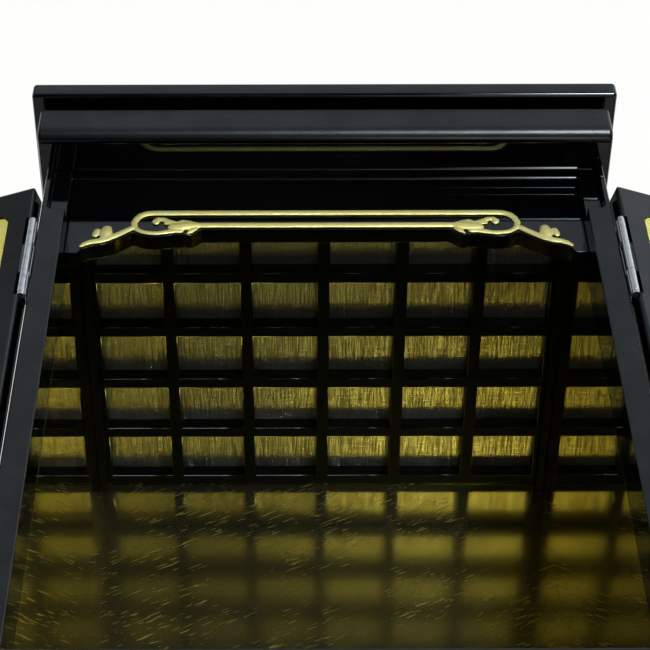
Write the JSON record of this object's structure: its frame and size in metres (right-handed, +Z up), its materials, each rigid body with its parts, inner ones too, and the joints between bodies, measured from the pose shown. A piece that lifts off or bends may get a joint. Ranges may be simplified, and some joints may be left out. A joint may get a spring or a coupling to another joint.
{
  "type": "buddhist home altar cabinet",
  "caption": "Tabletop black-lacquer altar cabinet with a gilded inside, coffered ceiling, scroll-carved header and hinged doors standing open.",
  "frame": {"origin": "middle of the underside, on the ground, halfway between the front and back edges of the top board", "axes": "+Z up, -Y towards the front opening, +X to the right as seen from the front"},
  "size_m": [0.8066, 0.371, 0.6],
  "materials": {
    "black_lacquer": "black lacquer polished to a mirror",
    "plain_black": "plain black satin paint",
    "gold_leaf": "gold leaf on smooth board, glossy",
    "gold_weave": "gold thread weave on board",
    "gilded_carving": "gilded carving, satin",
    "hinge_metal": "bright satin metal"
  },
  "bodies": {
    "cabinet": {"top_board": "black_lacquer", "cornice_neck": "black_lacquer", "cornice_board": "black_lacquer", "cornice_bead": "black_lacquer", "post_left": "black_lacquer", "post_right": "black_lacquer", "header_board": "black_lacquer", "header_scroll": "gilded_carving", "ceiling_panel": "gold_weave", "ceiling_lattice": "black_lacquer", "ceiling_front_board": "black_lacquer", "ceiling_rail_left": "black_lacquer", "ceiling_rail_right": "black_lacquer", "gilt_side_left": "gold_leaf", "gilt_side_right": "gold_leaf", "gilt_back": "gold_leaf", "side_board_left": "black_lacquer", "side_board_right": "black_lacquer", "back_board": "plain_black", "floor_board": "black_lacquer", "sill_rail": "black_lacquer", "base_step": "black_lacquer", "base_plinth": "black_lacquer", "hinge_left_upper_fixed": "hinge_metal", "hinge_left_lower_fixed": "hinge_metal", "hinge_right_upper_fixed": "hinge_metal", "hinge_right_lower_fixed": "hinge_metal"},
    "left_leaf": {"door_left": "black_lacquer", "gilt_door_panel_left": "gold_leaf", "hinge_left_upper_door": "hinge_metal", "hinge_left_lower_door": "hinge_metal"},
    "right_leaf": {"door_right": "black_lacquer", "gilt_door_panel_right": "gold_leaf", "hinge_right_upper_door": "hinge_metal", "hinge_right_lower_door": "hinge_metal"}
  },
  "joints": [
    {"name": "left_door_hinge", "type": "hinge", "parent": "cabinet", "child": "left_leaf", "pos_m": [-0.2065, -0.15975, 0.28], "axis": [0, 0, 1], "range_deg": [0, 197.5]},
    {"name": "right_door_hinge", "type": "hinge", "parent": "cabinet", "child": "right_leaf", "pos_m": [0.2065, -0.15975, 0.28], "axis": [0, 0, -1], "range_deg": [0, 197.5]}
  ]
}
